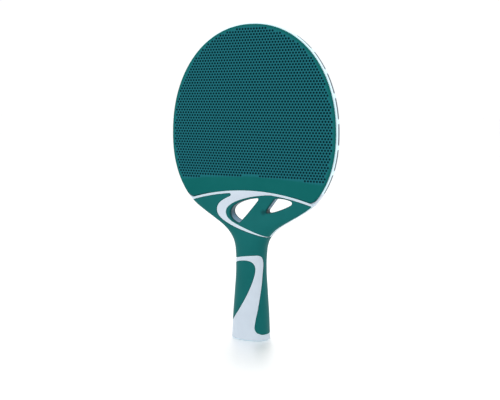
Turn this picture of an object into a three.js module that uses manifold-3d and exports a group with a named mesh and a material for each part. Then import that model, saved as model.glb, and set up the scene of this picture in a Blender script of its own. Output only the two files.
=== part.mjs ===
// Outdoor table-tennis bat with a moulded composite core, standing on its butt.
// Millimetres. +Z runs up the bat, +X across it, and the front face looks along -Y.
// The origin is the middle of the flat end of the handle.

import * as THREE from 'three';
import { mergeVertices } from 'three/addons/utils/BufferGeometryUtils.js';
import Module from 'manifold-3d';

const wasm = await Module();
wasm.setup();

// ---------------------------------------------------------------- driving dimensions

// Head outline, the same curve for the rubber and for the core, which stands RIM proud of it.
const SHEET_HALF_WIDTH = 75.3;
const WIDEST_Z = 171.6;
const HEAD_RISE = 88.5;
const CROWN_POWER = 2.1;
const HEAD_DROP = 80;
const DROP_POWER = 2.3;
const RIM = 1.1;
const PLATE_LOW_Z = 114.5;

// Thicknesses through the blade, counted out from the middle plane.
const PLATE_HALF = 2.65;
const FILM_THICK = 0.2;
const SHEET_THICK = 1.3;
const FACE_HALF = 4.25;
const PLATE_EDGE_BEVEL = 0.4;

// The rubber ends at the bottom in a wide arc, and a white rib runs below it.
const ARC_RADIUS = 196;
const ARC_CENTRE_Z = -71.3;
const RIB_WIDTH = 2.1;
const FILM_MARGIN = 1;

// Slots in the edge of the head.
const SLOTS_PER_SIDE = 7;
const SLOT_LENGTH = 16.4;
const SLOT_PITCH = 20.4;
const FIRST_SLOT_FROM_TOP = 41.6;
const SLOT_HEIGHT = 2.3;
const SLOT_DEPTH = 3.5;

// Throat and handle: a station is height, half width, half depth, squareness of the section.
const STATIONS = [
  [0, 16.6, 11.8, 2.3],
  [20, 15.7, 11.5, 2.3],
  [40, 14.2, 11.0, 2.3],
  [58, 13.1, 10.6, 2.3],
  [68, 13.1, 10.5, 2.3],
  [76, 13.6, 10.2, 2.4],
  [82, 15.1, 9.6, 2.5],
  [88, 18.7, 8.8, 2.7],
  [94, 24.8, 7.7, 3.2],
  [100, 34.1, 6.4, 4.2],
  [106, 44.3, 4.9, 5.6],
  [112, 53.2, 4.4, 7],
  [118, 59.4, FACE_HALF, 9],
  [128, 65.5, FACE_HALF, 9],
];
const BUTT_EDGE = 0.8;
const THROAT_TOP_Z = 126;

// Soft skins lie in pockets of the core, flush with it.
const SKIN_THICK = 2.2;
const SEAM = 0.3;
const WALL_BEHIND_SKIN = 2.5;
const CAVITY_TOP_Z = 78;
const WING_LIP_LOW = 0.35;
const WING_LIP_HIGH = 0.9;

// Plug that closes the hollow handle from below.
const PLUG_LAND = 2.6;
const PLUG_FLANGE_THICK = 2.5;
const PLUG_SKIRT_TOP_Z = 15;
const PLUG_SKIRT_WALL = 1.6;

// Fineness of the facets, and how far a cutting solid passes beyond what it cuts.
const AROUND = 24;
const RING_STEP = 10;
const THROAT_RING_STEP = 4.5;
const THROAT_FROM_Z = 70;
const CLEAR = 1;
const FAR = 90;

const MATERIALS = {
  rubber: new THREE.MeshStandardMaterial({ color: 0x1d6a6b, roughness: 0.6, metalness: 0 }),
  film: new THREE.MeshStandardMaterial({ color: 0xd8d4c4, roughness: 0.7, metalness: 0 }),
  resin: new THREE.MeshStandardMaterial({ color: 0xd3dee6, roughness: 0.4, metalness: 0 }),
  soft: new THREE.MeshStandardMaterial({ color: 0x1a6767, roughness: 0.55, metalness: 0 }),
};

// ---------------------------------------------------------------- solids and meshes

function toSolid(geometry) {
  const bare = geometry.clone();
  bare.deleteAttribute('normal');
  bare.deleteAttribute('uv');
  const merged = mergeVertices(bare, 1e-5);
  return new wasm.Manifold(new wasm.Mesh({
    numProp: 3,
    vertProperties: new Float32Array(merged.attributes.position.array),
    triVerts: new Uint32Array(merged.index.array),
  }));
}

function toMesh(name, solid, material) {
  const { vertProperties, triVerts } = solid.getMesh();
  const geometry = new THREE.BufferGeometry();
  geometry.setAttribute('position', new THREE.BufferAttribute(vertProperties, 3));
  geometry.setIndex(new THREE.BufferAttribute(triVerts, 1));
  geometry.computeVertexNormals();
  const mesh = new THREE.Mesh(geometry, material);
  mesh.name = name;
  return mesh;
}

// A flat outline in X and Z, given thickness between two values of Y.
function slab(outline, yFront, yBack, bevel = 0) {
  const geometry = new THREE.ExtrudeGeometry(new THREE.Shape(outline), {
    depth: yBack - yFront - 2 * bevel,
    bevelEnabled: bevel > 0,
    bevelThickness: bevel,
    bevelSize: bevel,
    bevelOffset: -bevel,
    bevelSegments: 1,
    steps: 1,
  });
  geometry.rotateX(Math.PI / 2);
  geometry.translate(0, yBack - bevel, 0);
  return toSolid(geometry);
}

// Stacks closed rings of equal length into one solid, with a flat cap at each end.
function stack(rings) {
  const count = rings[0].length;
  const last = rings.length - 1;
  const points = rings.flat();
  const indices = [];
  for (let r = 0; r < last; r += 1) {
    for (let i = 0; i < count; i += 1) {
      const a = r * count + i;
      const b = r * count + (i + 1) % count;
      indices.push(a, b, b + count, a, b + count, a + count);
    }
  }
  for (let i = 1; i < count - 1; i += 1) {
    indices.push(0, i + 1, i);
    indices.push(last * count, last * count + i, last * count + i + 1);
  }
  const geometry = new THREE.BufferGeometry().setFromPoints(points);
  geometry.setIndex(indices);
  return toSolid(geometry);
}

// ---------------------------------------------------------------- outlines

const v2 = (x, z) => new THREE.Vector2(x, z);

// Least cosine of half a corner's turn, so that a pointed corner isn't drawn out too far.
const SHARPEST_MITRE = 0.6;

// Moves every point of a closed outline outwards by a distance, or inwards if it is negative.
function grow(outline, distance) {
  const turn = THREE.ShapeUtils.isClockWise(outline) ? -1 : 1;
  const count = outline.length;
  return outline.map((point, i) => {
    const before = point.clone().sub(outline[(i + count - 1) % count]).normalize();
    const after = outline[(i + 1) % count].clone().sub(point).normalize();
    const along = before.add(after).normalize();
    const spread = Math.max(SHARPEST_MITRE, Math.abs(along.dot(after)));
    return v2(
      point.x + (turn * along.y * distance) / spread,
      point.y - (turn * along.x * distance) / spread,
    );
  });
}

function sheetHalfWidth(z) {
  const drop = Math.min(1, (WIDEST_Z - z) / HEAD_DROP);
  return SHEET_HALF_WIDTH * Math.sqrt(1 - drop ** DROP_POWER);
}

// Right-hand half of the head, from a low height up to the top, standing out by a margin.
function headSide(lowZ, margin) {
  const points = [];
  const lowSteps = 14;
  for (let i = 0; i < lowSteps; i += 1) {
    const z = lowZ + ((WIDEST_Z - lowZ) * i) / lowSteps;
    points.push(v2(sheetHalfWidth(z) + margin, z));
  }
  const crownSteps = 24;
  for (let i = 0; i <= crownSteps; i += 1) {
    const angle = (Math.PI / 2) * (i / crownSteps);
    const across = Math.max(0, Math.cos(angle)) ** (2 / CROWN_POWER);
    const up = Math.sin(angle) ** (2 / CROWN_POWER);
    points.push(v2((SHEET_HALF_WIDTH + margin) * across, WIDEST_Z + (HEAD_RISE + margin) * up));
  }
  return points;
}

function mirrored(rightHalf) {
  const leftHalf = rightHalf.map((point) => v2(-point.x, point.y)).reverse();
  return [...rightHalf, ...leftHalf.filter((point) => point.x < -1e-6)];
}

function arcHeight(x, radius) {
  return ARC_CENTRE_Z + Math.sqrt(radius * radius - x * x);
}

// Outline of a rubber sheet: the head's curve, rounded corners and the wide arc at the bottom.
function sheetOutline() {
  const cornerTopZ = 121.3;
  const cornerInX = 52.5;
  const cornerPoint = v2(57.2, 116.1);
  const radius = ARC_RADIUS + SEAM / 2;
  const corner = new THREE.QuadraticBezierCurve(
    v2(cornerInX, arcHeight(cornerInX, radius)),
    cornerPoint,
    v2(sheetHalfWidth(cornerTopZ), cornerTopZ),
  );
  const arc = [];
  const arcSteps = 10;
  for (let i = 0; i < arcSteps; i += 1) {
    const x = (cornerInX * i) / arcSteps;
    arc.push(v2(x, arcHeight(x, radius)));
  }
  const cornerSteps = 6;
  const cornerPoints = corner.getPoints(cornerSteps);
  const side = headSide(cornerTopZ, 0).slice(1);
  const right = [...arc, ...cornerPoints, ...side];
  const left = right.map((point) => v2(-point.x, point.y)).reverse();
  return [...right, ...left.slice(1, -1)];
}

// ---------------------------------------------------------------- throat and handle section

// Smooth monotone curve through one column of the stations.
function station(column, z) {
  const last = STATIONS.length - 1;
  const slope = (i) => (STATIONS[i + 1][column] - STATIONS[i][column])
    / (STATIONS[i + 1][0] - STATIONS[i][0]);
  const tangent = (i) => {
    if (i === 0) return slope(0);
    if (i === last) return slope(last - 1);
    const product = slope(i - 1) * slope(i);
    return product > 0 ? (2 * product) / (slope(i - 1) + slope(i)) : 0;
  };
  const height = THREE.MathUtils.clamp(z, STATIONS[0][0], STATIONS[last][0]);
  const above = STATIONS.findIndex((row, i) => i > 0 && height <= row[0]);
  const i = above - 1;
  const span = STATIONS[above][0] - STATIONS[i][0];
  const t = (height - STATIONS[i][0]) / span;
  return (2 * t ** 3 - 3 * t ** 2 + 1) * STATIONS[i][column]
    + (t ** 3 - 2 * t ** 2 + t) * span * tangent(i)
    + (3 * t ** 2 - 2 * t ** 3) * STATIONS[above][column]
    + (t ** 3 - t ** 2) * span * tangent(above);
}

// One oval ring of the throat or handle at a height, drawn in by a side and a face inset.
function ring(z, sideInset, faceInset, sectionZ = z) {
  const halfWidth = station(1, sectionZ) - sideInset;
  const halfDepth = station(2, sectionZ) - faceInset;
  const power = 2 / station(3, sectionZ);
  return Array.from({ length: AROUND }, (_, i) => {
    const angle = (2 * Math.PI * i) / AROUND;
    const c = Math.cos(angle);
    const s = Math.sin(angle);
    return new THREE.Vector3(
      halfWidth * Math.sign(c) * Math.abs(c) ** power,
      halfDepth * Math.sign(s) * Math.abs(s) ** power,
      z,
    );
  });
}

function ringHeights(lowZ, highZ) {
  const heights = [lowZ];
  while (heights[heights.length - 1] < highZ) {
    const z = heights[heights.length - 1];
    heights.push(Math.min(highZ, z + (z < THROAT_FROM_Z ? RING_STEP : THROAT_RING_STEP)));
  }
  return heights;
}

function body(sideInset, faceInset, lowZ, highZ) {
  return stack(ringHeights(lowZ, highZ).map((z) => ring(z, sideInset, faceInset)));
}

// The form behind a skin of a given thickness; a skin that runs out at the side has no side inset.
function floorBehind(thickness, atSide = thickness) {
  return body(atSide, thickness, 0, THROAT_TOP_Z + CLEAR);
}

// The full outer form, with the edge of the butt broken all round.
function outerBody() {
  const edge = ring(0, BUTT_EDGE, BUTT_EDGE);
  const rest = ringHeights(BUTT_EDGE, THROAT_TOP_Z).map((z) => ring(z, 0, 0));
  return stack([edge, ...rest]);
}

// ---------------------------------------------------------------- regions of the soft skins

// Upper edge of the throat skins, a wide arc that runs below the rib.
function underRib(fromX, toX, steps) {
  return Array.from({ length: steps + 1 }, (_, i) => {
    const x = fromX + ((toX - fromX) * i) / steps;
    return v2(x, arcHeight(x, ARC_RADIUS - RIB_WIDTH));
  });
}

// Left wing and neck: the white swoosh bounds it above, the white band of the handle below.
function neckOutline() {
  const swooshOuter = new THREE.CurvePath();
  swooshOuter.add(new THREE.QuadraticBezierCurve(v2(-20.5, 121.7), v2(-15, 122.3), v2(-19.3, 119.9)));
  swooshOuter.add(new THREE.CubicBezierCurve(
    v2(-19.3, 119.9), v2(-26.5, 115.9), v2(-31.2, 113), v2(-31.2, 107.6)));
  swooshOuter.add(new THREE.CubicBezierCurve(
    v2(-31.2, 107.6), v2(-31.2, 102.6), v2(-24.6, 98.7), v2(-16, 95.4)));
  swooshOuter.add(new THREE.CubicBezierCurve(
    v2(-16, 95.4), v2(-7, 91.95), v2(6, 88.9), v2(24, 85.6)));
  const bandTop = new THREE.CurvePath();
  bandTop.add(new THREE.QuadraticBezierCurve(v2(13.2, 64), v2(13.2, 72.6), v2(8.5, 72.3)));
  bandTop.add(new THREE.QuadraticBezierCurve(v2(8.5, 72.3), v2(-5, 71.2), v2(-15, 66.4)));
  return [
    ...underRib(-64, -21.5, 6),
    ...swooshOuter.getPoints(7),
    v2(24, 64),
    ...bandTop.getPoints(6),
    v2(-64, 66.4),
  ];
}

// Right side of the throat, inside the swoosh, out to the white lip of the wing's edge.
function throatOutline() {
  const edgeTopZ = 114.6;
  const edgeLowZ = 87.6;
  const steps = 8;
  const wingEdge = Array.from({ length: steps + 1 }, (_, i) => {
    const z = THREE.MathUtils.lerp(edgeLowZ, edgeTopZ, i / steps);
    return v2(station(1, z) - THREE.MathUtils.lerp(WING_LIP_LOW, WING_LIP_HIGH, i / steps), z);
  });
  const swooshInner = new THREE.CurvePath();
  swooshInner.add(new THREE.CubicBezierCurve(
    v2(19, arcHeight(19, ARC_RADIUS - RIB_WIDTH)), v2(1, 120.9), v2(-21.9, 114.6), v2(-22.2, 106.6)));
  swooshInner.add(new THREE.CubicBezierCurve(
    v2(-22.2, 106.6), v2(-22.2, 101.2), v2(-16, 98.3), v2(-8, 95.45)));
  swooshInner.add(new THREE.CubicBezierCurve(
    v2(-8, 95.45), v2(0, 92.6), v2(9, 89.9), v2(18, 87.2)));
  return [
    ...swooshInner.getPoints(8),
    ...wingEdge.slice(1),
    ...underRib(52.5, 20.5, 6),
  ];
}

// Drop-shaped inlay for the palm, open towards the left side, which it wraps.
function inlayOutline() {
  const edge = new THREE.CurvePath();
  edge.add(new THREE.CubicBezierCurve(v2(-14, 63.6), v2(-8, 66.4), v2(8.2, 71.2), v2(8.2, 60)));
  edge.add(new THREE.CubicBezierCurve(v2(8.2, 60), v2(8.2, 50), v2(-2, 27), v2(-14.5, 14.4)));
  return [...edge.getPoints(12), v2(-30, 14.4), v2(-30, 63.6)];
}

function windowOutlines() {
  const left = new THREE.Path();
  left.moveTo(5.9, 118.5);
  left.bezierCurveTo(-6, 116.9, -18, 112.6, -18, 106);
  left.bezierCurveTo(-18, 102.2, -14.5, 99.6, -10.7, 98);
  left.quadraticCurveTo(-8.8, 97.2, -7.4, 98.9);
  left.lineTo(7.2, 116.7);
  left.quadraticCurveTo(8.5, 118.9, 5.9, 118.5);
  const right = new THREE.Path();
  right.moveTo(24.2, 119);
  right.bezierCurveTo(27.6, 119.4, 31.4, 119.2, 36.2, 117.9);
  right.bezierCurveTo(39.3, 116.8, 38.5, 115.1, 36.4, 114);
  right.bezierCurveTo(31, 111.1, 24, 108.3, 17.4, 106.9);
  right.bezierCurveTo(14.8, 106.4, 14.6, 108, 15.7, 109.6);
  right.lineTo(22.2, 118.1);
  right.quadraticCurveTo(22.9, 119, 24.2, 119);
  return [left.getPoints(6), right.getPoints(6)].map((points) => points.slice(0, -1));
}

// The skin of the neck runs on down the right side of the handle as a widening strip.
// Its edge is given by height and by the angle round from the right-hand side, in degrees.
const STRIP_EDGE = [
  v2(5.2, 24), v2(5.9, 33), v2(7.3, 44), v2(10, 49.8), v2(17.3, 46.9),
  v2(24.8, 40.3), v2(39.7, 28), v2(54.3, 16.4), v2(65, 10.8), v2(74, 10.8),
];

function stripWedge(margin) {
  const steps = 30;
  const reach = 36;
  const rings = new THREE.SplineCurve(STRIP_EDGE).getPoints(steps).map((point, i) => {
    const angle = THREE.MathUtils.degToRad(point.y) + margin / station(1, point.x);
    const z = i === 0 ? point.x - margin : point.x;
    const far = reach * Math.cos(angle);
    const wide = reach * Math.sin(angle);
    return [
      new THREE.Vector3(0, 0, z),
      new THREE.Vector3(far, -wide, z),
      new THREE.Vector3(far, wide, z),
    ];
  });
  return stack(rings);
}

function neckCutter(margin) {
  return slab(grow(neckOutline(), margin), -FAR, FAR).add(stripWedge(margin));
}

function windows() {
  const [left, right] = windowOutlines();
  return slab(left, -FAR, FAR).add(slab(right, -FAR, FAR));
}

// ---------------------------------------------------------------- the core

// Everything below the rubber, through the full thickness: the raised rib ends where the sheets begin.
function belowSheets() {
  const steps = 12;
  const widest = 66;
  const lowZ = -5;
  const arc = Array.from({ length: steps + 1 }, (_, i) => {
    const x = widest * (1 - i / steps);
    return v2(x, arcHeight(x, ARC_RADIUS - SEAM / 2));
  });
  return slab(mirrored([v2(0, lowZ), v2(FAR, lowZ), ...arc]), -FAR, FAR);
}

// One slot of the head's edge: a curved bar along the outline, let in from outside.
function edgeSlot(index, side) {
  const outline = headSide(PLATE_LOW_Z, RIM).reverse();
  const path = new THREE.CurvePath();
  outline.slice(1).forEach((point, i) => path.add(new THREE.LineCurve(outline[i], point)));
  const total = path.getLength();
  const start = FIRST_SLOT_FROM_TOP + index * SLOT_PITCH;
  const steps = 5;
  const along = Array.from({ length: steps + 1 },
    (_, i) => (start + (SLOT_LENGTH * i) / steps) / total);
  const offset = (t, distance) => {
    const point = path.getPointAt(t);
    const direction = path.getTangentAt(t);
    return v2(side * (point.x - direction.y * distance), point.y + direction.x * distance);
  };
  const outer = along.map((t) => offset(t, CLEAR));
  const inner = along.map((t) => offset(t, -SLOT_DEPTH)).reverse();
  return slab([...outer, ...inner], -SLOT_HEIGHT / 2, SLOT_HEIGHT / 2);
}

function plugFlange(margin) {
  const inset = PLUG_LAND + BUTT_EDGE - margin;
  return stack([-margin, PLUG_FLANGE_THICK + margin].map((z) => ring(z, inset, inset, 0)));
}

function coreFrame() {
  const plate = slab(mirrored(headSide(PLATE_LOW_Z, RIM)), -PLATE_HALF, PLATE_HALF, PLATE_EDGE_BEVEL);
  const pocketDepth = SKIN_THICK + SEAM;
  const sleeveFloor = floorBehind(pocketDepth);
  const panelFloor = floorBehind(pocketDepth, -CLEAR);
  const cavityInset = pocketDepth + WALL_BEHIND_SKIN;
  let core = outerBody().intersect(belowSheets()).add(plate);
  core = core.subtract(neckCutter(SEAM / 2).subtract(sleeveFloor));
  core = core.subtract(slab(grow(inlayOutline(), SEAM / 2), -FAR, FAR).subtract(sleeveFloor));
  core = core.subtract(slab(grow(throatOutline(), SEAM / 2), -FAR, FAR).subtract(panelFloor));
  core = core.subtract(windows());
  core = core.subtract(body(cavityInset, cavityInset, -CLEAR, CAVITY_TOP_Z));
  core = core.subtract(plugFlange(SEAM));
  for (let index = 0; index < SLOTS_PER_SIDE; index += 1) {
    core = core.subtract(edgeSlot(index, 1)).subtract(edgeSlot(index, -1));
  }
  return core;
}

// ---------------------------------------------------------------- the other pieces

function faceLayers() {
  const outline = sheetOutline();
  const sheetInner = FACE_HALF - SHEET_THICK;
  const clearance = (sheetInner - PLATE_HALF - FILM_THICK) / 2;
  const filmInner = PLATE_HALF + clearance;
  const filmOutline = grow(outline, -FILM_MARGIN);
  return {
    frontSheet: slab(outline, -FACE_HALF, -sheetInner),
    backSheet: slab(outline, sheetInner, FACE_HALF),
    frontFilm: slab(filmOutline, -filmInner - FILM_THICK, -filmInner),
    backFilm: slab(filmOutline, filmInner, filmInner + FILM_THICK),
  };
}

function neckGrip() {
  return outerBody().intersect(neckCutter(-SEAM / 2)).subtract(floorBehind(SKIN_THICK));
}

function palmInlay() {
  const region = slab(grow(inlayOutline(), -SEAM / 2), -FAR, FAR);
  return outerBody().intersect(region).subtract(floorBehind(SKIN_THICK));
}

function throatPanel(yFront, yBack) {
  const region = slab(grow(throatOutline(), -SEAM / 2), yFront, yBack);
  const floor = floorBehind(SKIN_THICK, -CLEAR);
  return outerBody().intersect(region).subtract(floor).subtract(windows());
}

function buttPlug() {
  const inset = SKIN_THICK + SEAM + WALL_BEHIND_SKIN + SEAM;
  const skirtLow = PLUG_FLANGE_THICK / 2;
  const skirt = body(inset, inset, skirtLow, PLUG_SKIRT_TOP_Z);
  const well = inset + PLUG_SKIRT_WALL;
  const hollow = body(well, well, PLUG_FLANGE_THICK, PLUG_SKIRT_TOP_Z + CLEAR);
  return plugFlange(0).add(skirt).subtract(hollow);
}

// ---------------------------------------------------------------- the bat

const layers = faceLayers();
const bat = new THREE.Group();
bat.add(
  toMesh('core_frame', coreFrame(), MATERIALS.resin),
  toMesh('front_sheet', layers.frontSheet, MATERIALS.rubber),
  toMesh('back_sheet', layers.backSheet, MATERIALS.rubber),
  toMesh('front_adhesive_film', layers.frontFilm, MATERIALS.film),
  toMesh('back_adhesive_film', layers.backFilm, MATERIALS.film),
  toMesh('front_throat_panel', throatPanel(-FAR, 0), MATERIALS.soft),
  toMesh('back_throat_panel', throatPanel(0, FAR), MATERIALS.soft),
  toMesh('neck_grip', neckGrip(), MATERIALS.soft),
  toMesh('palm_inlay', palmInlay(), MATERIALS.soft),
  toMesh('butt_plug', buttPlug(), MATERIALS.resin),
);

export default bat;
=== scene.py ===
"""Looks of an outdoor table-tennis bat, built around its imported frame.

The frame has +Z up the bat, +X across it and the front face towards -Y, with its origin in the middle
of the butt. Shapes are worked out in millimetres in that frame and become metres when an object is made.
"""

import math

import bmesh
import bpy
import numpy as np
from mathutils import Matrix, Vector
from mathutils.geometry import delaunay_2d_cdt
from mathutils.kdtree import KDTree


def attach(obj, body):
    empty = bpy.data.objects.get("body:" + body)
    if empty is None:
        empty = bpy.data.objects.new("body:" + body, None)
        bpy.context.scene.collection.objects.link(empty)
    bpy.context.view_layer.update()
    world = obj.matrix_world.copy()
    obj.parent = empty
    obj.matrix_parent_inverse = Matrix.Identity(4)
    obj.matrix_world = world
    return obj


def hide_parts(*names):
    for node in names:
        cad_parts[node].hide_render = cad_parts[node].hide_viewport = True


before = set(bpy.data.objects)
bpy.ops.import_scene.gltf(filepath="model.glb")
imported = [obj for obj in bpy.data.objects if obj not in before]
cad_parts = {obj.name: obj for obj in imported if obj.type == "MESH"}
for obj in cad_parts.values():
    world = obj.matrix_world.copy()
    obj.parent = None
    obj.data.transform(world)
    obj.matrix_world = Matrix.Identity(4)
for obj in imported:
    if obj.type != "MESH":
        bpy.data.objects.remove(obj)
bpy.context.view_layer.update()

MM = 0.001

# ---- driving sizes, in millimetres

SHEET_HALF_WIDTH = 75.3
WIDEST_Z = 171.6
HEAD_RISE = 88.5
CROWN_POWER = 2.1
HEAD_DROP = 80.0
DROP_POWER = 2.3
RIM = 1.1
SHEET_CORNER_Z = 121.3

PLATE_LOW_Z = 114.5
PLATE_HALF = 2.65
PLATE_ROUNDING = 0.7
SHEET_INNER = 2.95
FACE_HALF = 4.25

ARC_RADIUS = 196.0
ARC_CENTRE_Z = -71.3
RIB_WIDTH = 2.1

# Height, half width, half depth and squareness of the section of the handle and throat.
STATIONS = np.array([
    [0, 16.6, 11.8, 2.3],
    [20, 15.7, 11.5, 2.3],
    [40, 14.2, 11.0, 2.3],
    [58, 13.1, 10.6, 2.3],
    [68, 13.1, 10.5, 2.3],
    [76, 13.6, 10.2, 2.4],
    [82, 15.1, 9.6, 2.5],
    [88, 18.7, 8.8, 2.7],
    [94, 24.8, 7.7, 3.2],
    [100, 34.1, 6.4, 4.2],
    [106, 44.3, 4.9, 5.6],
    [112, 53.2, 4.4, 7.0],
    [118, 59.4, 4.25, 9.0],
    [128, 65.5, 4.25, 9.0],
])
BUTT_EDGE = 0.8

SKIN_THICK = 2.2
POCKET_DEPTH = 2.5
WHITE_THICK = 2.8
HALF_SEAM = 0.05
SKIN_EDGE = 0.4
WHITE_EDGE = 0.6
WINDOW_EDGE = 1.4
WING_LIP_LOW = 1.7
WING_LIP_HIGH = 2.6
CAVITY_INSET = 5.0
CAVITY_TOP_Z = 78.0
CORE_TOP_Z = 126.0
PLAIN_HEAD_Z = 125.0
# Middle of the painted shade at the lower corner of the right-hand window.
SHADED_CORNER_AT = (13.0, 107.4)

SLOTS_PER_SIDE = 7
SLOT_LENGTH = 16.4
SLOT_PITCH = 20.4
FIRST_SLOT_FROM_TOP = 41.6
SLOT_HEIGHT = 2.3
SLOT_DEPTH = 3.5
SLOT_Y = 0.6
SLOT_FLARE = 0.35

PLUG_LAND = 2.6
PLUG_FLANGE_THICK = 2.5
PLUG_SKIRT_TOP_Z = 15.0
PLUG_SKIRT_WALL = 1.6
PLUG_SKIRT_INSET = 5.3
PLUG_GAP = 0.3

DIMPLE_PITCH = 2.6
DIMPLE_RIM = 0.98
# Radius, depth below the face and strength of painted shade of each ring down a dimple's side.
DIMPLE_STEPS = ((0.92, 0.1, 0.9), (0.7, 0.74, 1.0))
DIMPLE_DEPTH = 0.8
DIMPLE_AT = (43.4, 209.0)
DIMPLE_EDGE = 2.5
DIMPLE_LOW_Z = 137.0
DIMPLE_LOW_RADIUS = 500.0

# ---- fineness of the meshes, in millimetres

LINE_STEP = 0.25
EDGE_STEP = 0.45
SEAM_STEP = 0.05
SIDE_STEP = 0.4
SIDE_COLUMN = 0.5
SIDE_BAND = 7.5
EDGE_BAND = 0.9
DIMPLE_SIDES = 10

# ---- section of the handle and throat


def columns(*parts):
    """Arrays or single numbers side by side, as the columns of one array."""
    return np.stack(np.broadcast_arrays(*parts), axis=1)


def hermite(at, values, tangents, wanted):
    """Smooth curve through values at rising places, with the slope given at each."""
    i = np.clip(np.searchsorted(at, wanted) - 1, 0, len(at) - 2)
    span = at[i + 1] - at[i]
    t = (wanted - at[i]) / span
    return (
        (2 * t**3 - 3 * t**2 + 1) * values[i]
        + (t**3 - 2 * t**2 + t) * span * tangents[i]
        + (3 * t**2 - 2 * t**3) * values[i + 1]
        + (t**3 - t**2) * span * tangents[i + 1]
    )


def station(column, z):
    """Smooth monotone curve through one column of the stations."""
    heights, values = STATIONS[:, 0], STATIONS[:, column]
    slope = np.diff(values) / np.diff(heights)
    product = slope[:-1] * slope[1:]
    total = slope[:-1] + slope[1:]
    between = np.where(product > 0, 2 * product / np.where(total == 0, 1, total), 0)
    tangents = np.concatenate([slope[:1], between, slope[-1:]])
    return hermite(heights, values, tangents, np.clip(z, heights[0], heights[-1]))


ANGLES = np.linspace(0, np.pi, 721)


def front_halves(z):
    """Front half of the section at each height, from the right side to the left, as x, y and the
    distance along it from the middle of the front, positive to the right."""
    w, d, n = (station(column, z)[:, None] for column in (1, 2, 3))
    c, s = np.cos(ANGLES), np.maximum(np.sin(ANGLES), 0)
    x = w * np.sign(c) * np.abs(c) ** (2 / n)
    y = -d * s ** (2 / n)
    step = np.hypot(np.diff(x, axis=1), np.diff(y, axis=1))
    run = np.concatenate([np.zeros((len(z), 1)), np.cumsum(step, axis=1)], axis=1)
    return x, y, run[:, -1:] / 2 - run


def interpolate(key, wanted, *tables):
    """For each row, the tables' values where the falling key passes the wanted value."""
    i = np.clip((key > wanted[:, None]).sum(axis=1), 1, key.shape[1] - 1)
    row = np.arange(len(wanted))
    before, after = key[row, i - 1], key[row, i]
    t = np.clip((before - wanted) / np.maximum(before - after, 1e-12), 0, 1)
    return [table[row, i - 1] + (table[row, i] - table[row, i - 1]) * t for table in tables]


def in_parts(work, *arrays):
    """Does the work on some rows at a time, to save memory."""
    size = 2000
    parts = [work(*(a[k : k + size] for a in arrays)) for k in range(0, len(arrays[0]), size)]
    return np.concatenate(parts)


def surface(points):
    """Points (distance along the front, height) as x, y, z on the outer form."""

    def work(p):
        x, y, along = front_halves(p[:, 1])
        return columns(*interpolate(along, p[:, 0], x, y), p[:, 1])

    return in_parts(work, points)


def unrolled(points):
    """Points (x, z) of the front half as (distance along the front, height)."""

    def work(p):
        x, _, along = front_halves(p[:, 1])
        return columns(*interpolate(x, p[:, 0], along), p[:, 1])

    return in_parts(work, points)


def at_angle(heights, degrees):
    """Points at an angle round from the right-hand side, as (distance along the front, height)."""
    x, y, along = front_halves(heights)
    wanted = np.broadcast_to(-np.radians(degrees), heights.shape)
    return columns(*interpolate(-np.arctan2(-y, x), wanted, along), heights)


def half_girth(z):
    """Distance along the front from its middle to the bat's side, at each height."""
    z = np.atleast_1d(np.asarray(z, float))
    return in_parts(lambda part: front_halves(part)[2][:, 0], z)


def inset(points, depth):
    """Moves points of the outer form inwards by a depth, on the faces and on the sides."""
    w, d = station(1, points[:, 2]), station(2, points[:, 2])
    power = np.clip(w / 5, 2, 8)
    x = points[:, 0] - np.sign(points[:, 0]) * depth * np.abs(points[:, 0] / w) ** power
    y = points[:, 1] * (1 - depth / d)
    return columns(x, y, points[:, 2])


# ---- curves


def bezier(*controls, steps=60):
    """Bezier curve of any degree, as points."""
    controls = np.array(controls, float)
    degree = len(controls) - 1
    t = np.linspace(0, 1, steps)[:, None]
    terms = [
        math.comb(degree, k) * (1 - t) ** (degree - k) * t**k * controls[k] for k in range(degree + 1)
    ]
    return sum(terms)


def chain(*parts):
    """Joins stretches of a curve, leaving out doubled points."""
    points = np.concatenate([np.asarray(part, float) for part in parts])
    steps = np.hypot(*np.diff(points, axis=0).T)
    return points[np.concatenate([[True], steps > 1e-4])]


def run_along(points):
    """Distance of each point from the first, along the curve."""
    return np.concatenate([[0], np.cumsum(np.hypot(*np.diff(points, axis=0).T))])


def resample(points, step):
    """Evenly spaced points along a curve."""
    run = run_along(points)
    count = max(2, int(round(run[-1] / step)) + 1)
    wanted = np.linspace(0, run[-1], count)
    return columns(*[np.interp(wanted, run, points[:, k]) for k in (0, 1)])


def normals(points):
    """Unit normals on the left-hand side of an open curve."""
    tangent = np.gradient(points, axis=0)
    tangent /= np.hypot(*tangent.T)[:, None]
    return columns(-tangent[:, 1], tangent[:, 0])


def moved_left(points, shift):
    return points + normals(points) * shift


def moved_loop(points, shift):
    """Moves a closed curve to its left-hand side, which is inwards where it runs anticlockwise."""
    overlapped = np.concatenate([points[-2:], points, points[:2]])
    return moved_left(overlapped, shift)[2:-2]


def positive_stretch(points, spare):
    """The stretch of a curve where spare is above 0, ending exactly where it is 0."""
    kept = np.flatnonzero(spare > 0)
    first, last = kept[0], kept[-1]
    stretch = [points[first : last + 1]]
    if first > 0:
        t = spare[first] / (spare[first] - spare[first - 1])
        stretch.insert(0, [points[first] + (points[first - 1] - points[first]) * t])
    if last < len(points) - 1:
        t = spare[last] / (spare[last] - spare[last + 1])
        stretch.append([points[last] + (points[last + 1] - points[last]) * t])
    return np.concatenate(stretch)


def within_sides(points):
    """The stretch of an (x, z) curve that lies on the front half, ending exactly at the sides."""
    return positive_stretch(points, station(1, points[:, 1]) - np.abs(points[:, 0]))


def arc_height(x, radius):
    """Height of an arc round the rib's centre."""
    return ARC_CENTRE_Z + np.sqrt(radius**2 - x**2)


def arc(from_x, to_x, radius, steps=120):
    """Arc round the rib's centre, as points."""
    x = np.linspace(from_x, to_x, steps)
    return columns(x, arc_height(x, radius))


# ---- part lines of the throat and handle


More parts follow.
